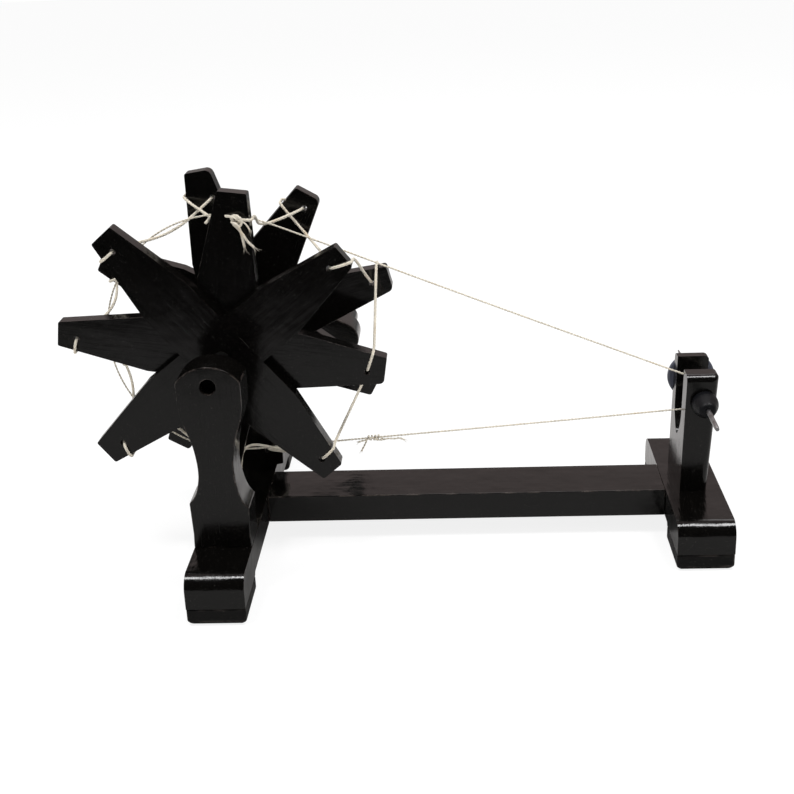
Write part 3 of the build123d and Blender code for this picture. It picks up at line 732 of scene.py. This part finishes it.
def twisted(name, places, cord, width, step, fray=()):
    """Strands laid round one another along a line, with their frayed fibres, as one mesh."""
    plies, body, slot, finish = YARNS[cord]
    lay = getattr(bpy.context.scene.charkha_cords, cord + "_lay")
    steady, total = even_steps(places, step)
    axes = carried_axes(steady)
    ply_r = width / 2 / (1 + 1 / sin(pi / plies)) * PRESSED
    off = width / 2 - ply_r
    shape = bmesh.new()
    strand_layer = shape.verts.layers.float_vector.new("strand")
    for ply in range(plies):
        strand = []
        for i, (place, (first, second)) in enumerate(zip(steady, axes)):
            a = 2 * pi * (i * total / (len(steady) - 1) / lay + ply / plies)
            strand.append(place + (first * cos(a) + second * sin(a)) * off)
        tube(shape, strand_layer, strand, [ply_r] * len(strand), SIDES, STRAND_APART * ply)
    for fibre in fray:
        last = len(fibre) - 1
        radii = [FIBRE_R * (1 - FIBRE_TAPER * i / last) for i in range(len(fibre))]
        tube(shape, strand_layer, fibre, radii, FIBRE_SIDES, FRAY_APART)
    bmesh.ops.recalc_face_normals(shape, faces=shape.faces)
    mesh = meshed(name, shape, material(finish))
    mesh.shade_smooth()
    piece = linked(bpy.data.objects.new(name, mesh))
    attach(piece, body)
    return piece, total


def frayed(places, spread, length, count, draw):
    """Loose fibres that open out from the end of a cord, each of its own length and droop."""
    end = places[-1]
    heading = (places[-1] - places[-4]).normalized()
    first = heading.orthogonal().normalized()
    second = heading.cross(first)
    fibres = []
    for _ in range(count):
        a = draw.uniform(0, 2 * pi)
        out = first * cos(a) + second * sin(a)
        reach = length * draw.uniform(0.5, 1.0)
        lean = spread * draw.uniform(0.3, 1.0)
        droop = Vector((0, 0, -1)) * reach * draw.uniform(0.0, 0.35)
        start = end - heading * 0.9 * MM + out * 0.2 * MM
        fibres.append([
            start + heading * reach * s + out * reach * lean * s * s + droop * s * s
            for s in (0.0, 0.25, 0.5, 0.75, 1.0)
        ])
    return fibres


def vane_edge(name, out, way):
    """How far sideways a vane's edge is, that far out. way is 1 for the anticlockwise one."""
    vane = VANES[name]
    share = (out - CAD_WAIST) / (vane.tip - CAD_WAIST)
    return way * (CAD_WAIST_HALF + (vane.half - CAD_WAIST_HALF) * share) + vane.lean * share


SNUG = 0.85                # from a board's face to the cord's middle
CORNER = 1.3               # the route's corners stand further out: its line cuts inside them
IN_HOLE = 0.3              # and nearer to the board where the cord goes into a hole

# Where the cord rounds each vane's anticlockwise edge, out along the vane.
EDGES = {
    "U": 62.5, "UR": 69.5, "R": 70.3, "LR": 68.0, "D": 68.8, "LL": 68.2, "L": 70.9, "UL": 69.9,
    "U_back": 69.0, "UR_back": 65.4, "R_back": 77.0, "LR_back": 69.8, "D_back": 69.5,
    "LL_back": 70.4, "L_back": 62.0, "UL_back": 67.2,
}
# The strands that reach these vanes run straight. The band presses the others inwards.
STRAIGHT_BEFORE = ("UR", "R_back", "R", "LR_back", "LR", "D_back")
DIP = 56.3                 # from the axle to a pressed strand's innermost point
DIP_UP = 1.6               # further above the axle and nearer below it, as the band is
BAND_DEPTH = -2.0          # the band on the wheel, back from the middle plane
UR_BACK_CROSSING = 57.2    # where the lacing crosses this vane's clockwise edge


def lacing_route():
    """The lacing from the knot on the top vane, clockwise round the wheel, back to that vane."""
    route = []

    def to(name, out, side, depth):
        route.append(vane_place(VANES[name].angle, out, side, depth))

    def round_edge(name, out, way, depths):
        edge = vane_edge(name, out, way)
        to(name, out, edge + way * CORNER, depths[0])
        to(name, out, edge + way * SNUG, sum(depths) / 2)
        to(name, out, edge + way * CORNER, depths[1])

    count = len(LACING_ORDER)
    front = FRONT_INNER[0] - CORNER
    to("U", 65.4, -3.0, front - 0.2)
    to("U", 65.6, -6.0, front - 0.2)
    round_edge("U", 65.6, -1, (front, FRONT_INNER[1] + CORNER))
    for i in range(1, count + 1):
        before, name = LACING_ORDER[i - 1], LACING_ORDER[i % count]
        if name not in STRAIGHT_BEFORE:
            gap = (VANES[before].angle - VANES[name].angle) % 360
            between = VANES[name].angle + gap / 2
            route.append(vane_place(between, DIP + DIP_UP * sin(radians(between)), 0, BAND_DEPTH))
        vane = VANES[name]
        layer, hole = vane.layer, (vane.hole_out, vane.hole_side)
        if name.endswith("_back"):
            near, far = layer[0] - CORNER, layer[1] + CORNER
            to(name, *hole, near + IN_HOLE)
            to(name, *hole, far - IN_HOLE)
            round_edge(name, EDGES[name], 1, (far, near))
            if name == "UR_back":
                edge = vane_edge(name, UR_BACK_CROSSING, -1)
                to(name, UR_BACK_CROSSING, edge - 0.2, near)
            continue
        near, far = layer[1] + CORNER, layer[0] - CORNER
        if name == "UR":
            to(name, *hole, near)
            to(name, *hole, far + IN_HOLE)
            to(name, vane.tip + CORNER, -3.6, far)
            to(name, vane.tip + SNUG, -3.9, sum(layer) / 2)
            to(name, vane.tip + CORNER, -4.2, near)
            continue
        round_edge(name, EDGES[name], 1, (near, far))
        if i < count:
            to(name, *hole, far + IN_HOLE)
            to(name, *hole, near - IN_HOLE)
    return route


def on_top_vane(places):
    """Points on the top vane's front face: out, sideways and off the face, in millimetres."""
    top = VANES["U"]
    return [vane_place(top.angle, out, side, top.layer[0] - off) for out, side, off in places]


def knot_route():
    """The lacing's last turns over its own start, and the tail that hangs from them."""
    return on_top_vane((
        (66.2, 1.6, -0.6), (66.4, 1.4, 1.2), (66.9, -1.2, 2.4), (66.4, -4.4, 3.4),
        (64.0, -5.2, 1.6), (63.8, -2.4, 0.9), (66.4, -0.6, 1.6), (68.0, -3.4, 2.8),
        (65.8, -6.6, 3.6), (62.8, -5.8, 3.2), (62.6, -3.0, 3.2), (64.8, -2.6, 4.4),
        (63.4, -5.0, 4.4), (60.0, -6.0, 2.6), (57.0, -6.8, 1.8), (54.4, -7.4, 1.4),
        (52.8, -7.8, 1.2),
    ))


def second_tail_route():
    """The tail that hangs to the left of the first."""
    return on_top_vane((
        (64.6, -1.4, 2.4), (62.4, -4.2, 3.6), (59.2, -7.2, 3.0), (56.2, -8.8, 2.2),
        (54.4, -10.8, 1.8), (53.2, -12.2, 1.6),
    ))


def loose_end_route():
    """The short thin end that sticks out of the knot."""
    return on_top_vane((
        (65.6, -4.6, 3.4), (65.2, -7.0, 3.2), (63.4, -8.8, 2.8), (61.4, -10.0, 2.6),
    ))


BAND_R, WHORL_R = 60.4, 6.8             # the band's middle, round the wheel and in the whorl
BAND_UP = 1.2                           # its arc's centre, above the axle
WHORL_DEPTH = -5.8
BAND_SAG = Vector((0, 0, -0.5)) * MM
KNOT_SHARE = 0.28                       # the knot's place along the lower run, from the wheel
BY_WHORL, BY_WHEEL, BY_KNOT = 0.04, 0.08, 0.2    # shares of a run, near the bends in the route
# The arcs' points stand further out, because the line cuts inside them.
WHORL_ARC, WHEEL_ARC = WHORL_R * 1.13, BAND_R * 1.013
WHEEL_STEPS = 14


def band_arcs():
    """The band's two arcs: their centres, their top and low ends, and points on them."""
    wheel = Vector((WHEEL_X, RAIL_Y + BAND_DEPTH, WHEEL_Z + BAND_UP)) * MM
    whorl = Vector((SPINDLE_X, RAIL_Y + WHORL_DEPTH, SPINDLE_Z)) * MM
    level = whorl - wheel
    level.z = 0
    along, up = level.normalized(), Vector((0, 0, 1))
    span = (whorl - wheel).dot(along) / MM
    drop = (whorl - wheel).z / MM
    line = atan2(drop, span)
    wrap = atan2(sqrt(hypot(span, drop)**2 - (BAND_R - WHORL_R) ** 2), BAND_R - WHORL_R)

    def on(centre, angle, radius):
        return centre + (along * cos(angle) + up * sin(angle)) * radius * MM

    return wheel, whorl, line + wrap, line - wrap, on


def band_lower_run():
    """The lower run's end at the wheel, its end at the whorl, and the knot between them."""
    wheel, whorl, _, low, on = band_arcs()
    low_wheel, low_whorl = on(wheel, low, BAND_R), on(whorl, low, WHORL_R)
    return low_wheel, low_whorl, low_wheel.lerp(low_whorl, KNOT_SHARE)


def band_route():
    """The band from its knot to the whorl, back over the wheel's top and round to the knot."""
    wheel, whorl, top, low, on = band_arcs()
    low_wheel, low_whorl, knot = band_lower_run()
    top_wheel, top_whorl = on(wheel, top, BAND_R), on(whorl, top, WHORL_R)
    route = [
        knot, knot.lerp(low_whorl, 0.5) + BAND_SAG * 0.6, low_whorl.lerp(knot, BY_WHORL), low_whorl,
    ]
    for share in (0.25, 0.5, 0.75):
        route.append(on(whorl, low + (top - low) * share, WHORL_ARC))
    route += [
        top_whorl, top_whorl.lerp(top_wheel, BY_WHORL), top_whorl.lerp(top_wheel, 0.5) + BAND_SAG,
        top_wheel.lerp(top_whorl, BY_WHEEL), top_wheel,
    ]
    around = low + 2 * pi - top
    for i in range(1, WHEEL_STEPS):
        route.append(on(wheel, top + around * i / WHEEL_STEPS, WHEEL_ARC))
    return route + [low_wheel, low_wheel.lerp(knot, BY_KNOT), knot]


BIND_STEPS, BIND_R, BIND_PITCH = 15, 1.5, 0.42    # quarter turns of the band's knot, in millimetres


def band_knot_routes():
    """The band's knot and its two loose ends, from the knot: along the band, forwards and up."""
    low_wheel, low_whorl, knot = band_lower_run()
    along = (low_whorl - low_wheel).normalized()
    front = Vector((0, -1, 0))
    up = along.cross(front)
    if up.z < 0:
        up = -up

    def at(places):
        return [knot + (along * a + front * f + up * u) * MM for a, f, u in places]

    turns = [(5.0, 1.0, -1.2), (3.6, 1.4, 0.4)]
    for i in range(BIND_STEPS):
        a = pi * i / 2
        turns.append((3.0 - BIND_PITCH * i, BIND_R * cos(a), BIND_R * sin(a)))
    turns += [(-4.2, 1.2, -1.6), (-5.2, 1.4, -3.4), (-6.4, 1.6, -5.0), (-7.0, 1.6, -6.2)]
    short_end = ((-1.0, 1.6, 0.6), (-3.6, 1.8, -0.2), (-6.0, 1.6, -0.6), (-8.2, 1.4, -1.2))
    long_end = (
        (0.0, 1.6, -0.4), (3.4, 1.6, -1.2), (7.0, 1.2, -0.6), (10.6, 1.0, -1.4),
        (13.0, 1.2, -0.8), (15.2, 1.0, -2.4),
    )
    return at(turns), at(short_end), at(long_end)


def tied(cord, node, draw, step, rows):
    """A knot's pieces, each frayed at its end. The first stands for the CAD node."""
    for name, route, width, spread, reach, count in rows:
        places = smooth_line(name, route)
        fibres = frayed(places, spread, reach * MM, count, draw)
        piece, _ = twisted(name, places, cord, width, step, fray=fibres)
        if name == rows[0][0]:
            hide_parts(node)


# -------- operators
class FramePieces(bpy.types.Operator):
    """Dresses the feet, their pads, the rail, the posts and the forked post."""

    bl_idname = "charkha.frame_pieces"
    bl_label = "Frame"

    def execute(self, context):
        for foot in ("wheel_foot", "spindle_foot"):
            dressed(foot, "lacquered feet", "frame", ALONG_Y)
            for pad in PADS:
                if pad.startswith(foot):
                    dressed(
                        pad, "rough pads", "frame", ALONG_Y, segments=3, reshape=worn_below(pad),
                    )
        dressed("rail", "lacquered feet", "frame", ALONG_X)
        for post in ("front_post", "rear_post", "spindle_fork"):
            dressed(post, "lacquered wood", "frame", ALONG_Z)
        return {"FINISHED"}


class WheelBoards(bpy.types.Operator):
    """Dresses the eight crossed boards, each with its own tips and holes."""

    bl_idname = "charkha.wheel_boards"
    bl_label = "Boards"

    def execute(self, context):
        for board, (first, _) in BOARDS.items():
            out_axis, _ = vane_axes(VANES[first].angle)
            dressed(board, "lacquered wood", "wheel", out_axis, reshape=sawn(board))
        return {"FINISHED"}


class AxleAndCrank(bpy.types.Operator):
    """Dresses the axle, the hub's core, the crank and its handle."""

    bl_idname = "charkha.axle_and_crank"
    bl_label = "Axle and crank"

    def execute(self, context):
        dressed("axle", "sunk end grain", "wheel", ALONG_Y)
        dressed("hub_core", "lacquered wood", "wheel", ALONG_Y)
        out_axis, _ = vane_axes(CRANK_ANGLE)
        dressed("crank_arm", "lacquered wood", "wheel", out_axis)
        dressed("crank_handle", "lacquered wood", "wheel", ALONG_Y)
        return {"FINISHED"}


class SpindlePieces(bpy.types.Operator):
    """Dresses the steel rod, the whorl, the bead and the disc."""

    bl_idname = "charkha.spindle_pieces"
    bl_label = "Spindle"

    def execute(self, context):
        dressed("spindle_rod", "spindle steel", "spindle", ALONG_Y)
        dressed("whorl", "lacquered wood", "spindle", ALONG_Y)
        dressed("front_bead", "turned bead", "spindle", ALONG_Y, reshape=slimmer)
        dressed("rear_disc", "turned disc", "spindle", ALONG_Y)
        return {"FINISHED"}


class Lacing(bpy.types.Operator):
    """Lays the cotton lacing from vane to vane round the wheel."""

    bl_idname = "charkha.lacing"
    bl_label = "Lacing"

    def execute(self, context):
        width = context.scene.charkha_cords.lacing_width
        places = smooth_line("lacing", lacing_route())
        piece, total = twisted("lacing", places, "lacing", width, step=0.62 * MM)
        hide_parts("lacing_cord")
        print("lacing", round(total / MM), "mm")
        return {"FINISHED"}


class LacingKnot(bpy.types.Operator):
    """Ties the lacing's knot on the top vane, with its two frayed tails."""

    bl_idname = "charkha.lacing_knot"
    bl_label = "Lacing knot"

    def execute(self, context):
        cords = context.scene.charkha_cords
        draw = random.Random(cords.seed)
        pulled = 0.92 * cords.lacing_width
        # Each piece's name, route and width, and its fibres' spread, length in mm and count.
        tied("lacing", "lacing_knot", draw, 0.5 * MM, (
            ("lacing_knot_turns", knot_route(), pulled, 0.5, 4.5, 12),
            ("lacing_knot_tail", second_tail_route(), 0.9 * pulled, 0.6, 4.0, 10),
            ("lacing_knot_end", loose_end_route(), 0.6 * pulled, 0.6, 3.0, 10),
        ))
        return {"FINISHED"}


class DriveBand(bpy.types.Operator):
    """Runs the thin cotton band round the wheel and the whorl."""

    bl_idname = "charkha.drive_band"
    bl_label = "Drive band"

    def execute(self, context):
        width = context.scene.charkha_cords.band_width
        places = smooth_line("drive_band", band_route())
        piece, total = twisted("drive_band_cord", places, "band", width, step=0.5 * MM)
        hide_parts("drive_band")
        print("band", round(total / MM), "mm")
        return {"FINISHED"}


class BandKnot(bpy.types.Operator):
    """Ties the band's small knot in its lower run, with its loose ends."""

    bl_idname = "charkha.band_knot"
    bl_label = "Band knot"

    def execute(self, context):
        cords = context.scene.charkha_cords
        draw = random.Random(cords.seed + 1)
        width = cords.band_width
        turns, short_end, long_end = band_knot_routes()
        tied("band", "band_knot", draw, 0.4 * MM, (
            ("band_knot_turns", turns, width, 0.7, 2.6, 8),
            ("band_knot_short_end", short_end, width, 0.7, 2.2, 8),
            ("band_knot_long_end", long_end, width, 0.7, 3.4, 8),
        ))
        return {"FINISHED"}


# -------- stage
CAMERA_AT = (31.135, -600.760, 303.617)
CAMERA_PITCH, CAMERA_YAW, CAMERA_ROLL = 0.3754, -0.0546, -0.0424
CAMERA_LENS = 58.216
CAMERA_SHIFT = (0.00051, 0.00163)

# Each soft lamp: its place and its two sizes in metres, and its share of the lamps' power.
LAMPS = {
    "left lamp": ((-0.40, -0.22, 1.10), (0.30, 0.34), 1.0),
    "right lamp": ((0.46, -0.22, 1.10), (0.34, 0.38), 1.2),
    "back lamp": ((0.0, 1.0, 1.3), (1.2, 0.5), 0.5),
}
LAMPS_AIM = Vector((0.0, 0.0, 0.08))
WHITE = (1.0, 1.0, 1.0)
FLOOR_HALF = 4.0
FLOOR_GLOW, FLOOR_MATT = 1.12, 0.25     # what the camera sees: a glow, and this share of shadow

# What a reflection sees of the floor: a first colour, then each next one with the range of Y
# over which it takes over, in metres.
FLOOR_FAR_FRONT = (0.004, 0.005, 0.005)
FLOOR_BANDS = (
    (-0.43, -0.35, (0.28, 0.275, 0.27)), (-0.08, 0.12, (0.66, 0.64, 0.63)),
    (0.35, 0.90, (0.24, 0.24, 0.24)),
)
# What it sees of the room: dark in front, and behind a wall that reddens a little upwards.
ROOM_FRONT, WALL_LOW, WALL_HIGH = (0.012, 0.012, 0.012), (0.28, 0.27, 0.26), (0.36, 0.30, 0.29)
WALL_RISE, WALL_BEGINS = (0.0, 0.30), (-0.25, 0.35)


def place_camera():
    data = bpy.data.cameras.new("camera")
    data.sensor_width = 36.0
    data.lens = CAMERA_LENS
    data.shift_x, data.shift_y = CAMERA_SHIFT
    data.clip_start = 0.01
    data.clip_end = 20.0
    ahead = Vector((
        sin(CAMERA_YAW) * cos(CAMERA_PITCH), cos(CAMERA_YAW) * cos(CAMERA_PITCH), -sin(CAMERA_PITCH),
    ))
    level = Vector((cos(CAMERA_YAW), -sin(CAMERA_YAW), 0.0))
    upright = level.cross(ahead)
    right = level * cos(CAMERA_ROLL) + upright * sin(CAMERA_ROLL)
    up = upright * cos(CAMERA_ROLL) - level * sin(CAMERA_ROLL)
    turn = Matrix((right, up, -ahead)).transposed().to_4x4()
    camera = linked(bpy.data.objects.new("camera", data))
    camera.matrix_world = Matrix.Translation(Vector(CAMERA_AT) * MM) @ turn
    bpy.context.scene.camera = camera


def split(net, coordinates):
    """The X, Y and Z of the texture coordinates of that name."""
    node = net.add("ShaderNodeSeparateXYZ")
    net.feed(net.add("ShaderNodeTexCoord").outputs[coordinates], node.inputs[0])
    return node.outputs


def floor_material(stage):
    """Pale and matt. Reflections see it black far in front, grey, pale behind, then grey again."""
    made = bpy.data.materials.new("pale floor")
    net = emptied(made)
    matt = net.made("ShaderNodeBsdfDiffuse", Color=stage.floor)
    glow = net.made("ShaderNodeEmission", Color=WHITE, Strength=FLOOR_GLOW)
    depth = split(net, "Object")["Y"]
    shade = FLOOR_FAR_FRONT
    for begins, ends, colour in FLOOR_BANDS:
        shade = net.blend(net.ramp(depth, begins, ends), shade, colour)
    mirrored = net.made("ShaderNodeBsdfDiffuse", Color=shade)
    path = net.add("ShaderNodeLightPath").outputs
    seen = net.either(path["Is Camera Ray"], matt, net.either(FLOOR_MATT, glow, matt))
    output = net.add("ShaderNodeOutputMaterial")
    net.feed(net.either(path["Is Glossy Ray"], seen, mirrored), output.inputs["Surface"])
    return made


def room_world(stage):
    """Even white light, white to the camera. Reflections see a dark room with a plain wall behind."""
    world = bpy.data.worlds.new("room")
    net = emptied(world)
    room = net.made("ShaderNodeBackground", Color=WHITE, Strength=stage.sky)
    way = split(net, "Generated")
    wall = net.blend(net.ramp(way["Z"], *WALL_RISE), WALL_LOW, WALL_HIGH)
    mirrored = net.blend(net.ramp(way["Y"], *WALL_BEGINS), ROOM_FRONT, wall)
    mirrored = net.made("ShaderNodeBackground", Color=mirrored, Strength=1.0)
    white = net.made("ShaderNodeBackground", Color=WHITE, Strength=1.0)
    path = net.add("ShaderNodeLightPath").outputs
    lit = net.either(path["Is Glossy Ray"], room, mirrored)
    output = net.add("ShaderNodeOutputWorld")
    net.feed(net.either(path["Is Camera Ray"], lit, white), output.inputs["Surface"])
    return world


def soft_lamp(name, place, size, power):
    data = bpy.data.lights.new(name, "AREA")
    data.shape = "RECTANGLE"
    data.size, data.size_y = size
    data.energy = power
    lamp = linked(bpy.data.objects.new(name, data))
    lamp.location = place
    lamp.rotation_mode = "QUATERNION"
    lamp.rotation_quaternion = (Vector(place) - LAMPS_AIM).to_track_quat("Z", "Y")


class Stage(bpy.types.Operator):
    """Sets the floor, the room's light, the soft lamps and the camera."""

    bl_idname = "charkha.stage"
    bl_label = "Stage"

    def execute(self, context):
        stage = context.scene.charkha_stage
        shape = bmesh.new()
        bmesh.ops.create_grid(shape, x_segments=1, y_segments=1, size=FLOOR_HALF)
        mesh = meshed("floor", shape, floor_material(stage))
        linked(bpy.data.objects.new("floor", mesh))
        context.scene.world = room_world(stage)
        for name, (place, size, share) in LAMPS.items():
            soft_lamp(name, place, size, share * stage.lamps)
        place_camera()
        context.scene.view_settings.view_transform = "Standard"
        return {"FINISHED"}


class CharkhaPanel(bpy.types.Panel):
    """Lists the charkha's pieces and settings in the sidebar."""

    bl_idname = "VIEW3D_PT_charkha"
    bl_label = "Upright charkha"
    bl_space_type = "VIEW_3D"
    bl_region_type = "UI"
    bl_category = "Charkha"

    def draw(self, context):
        column = self.layout.column()
        for operator in OPERATORS:
            column.operator(operator.bl_idname)
        for group in ("charkha_finish", "charkha_cords", "charkha_stage"):
            settings = getattr(context.scene, group)
            for name in settings.__annotations__:
                column.prop(settings, name)


OPERATORS = (
    Lacing, LacingKnot, DriveBand, BandKnot, FramePieces, WheelBoards, AxleAndCrank,
    SpindlePieces, Stage,
)
GROUPS = {
    "charkha_finish": CharkhaFinish, "charkha_cords": CharkhaCords, "charkha_stage": CharkhaStage,
}


CLASSES = (*GROUPS.values(), *OPERATORS, CharkhaPanel)


def register():
    for made in CLASSES:
        bpy.utils.register_class(made)
    for name, group in GROUPS.items():
        setattr(bpy.types.Scene, name, PointerProperty(type=group))


def unregister():
    for name in GROUPS:
        delattr(bpy.types.Scene, name)
    for made in reversed(CLASSES):
        bpy.utils.unregister_class(made)


def main():
    register()
    for operator in OPERATORS:
        module, name = operator.bl_idname.split(".")
        result = getattr(getattr(bpy.ops, module), name)()
        if "FINISHED" not in result:
            raise RuntimeError(operator.bl_label + " didn't finish")
    bpy.context.view_layer.update()


if __name__ == "__main__":
    main()
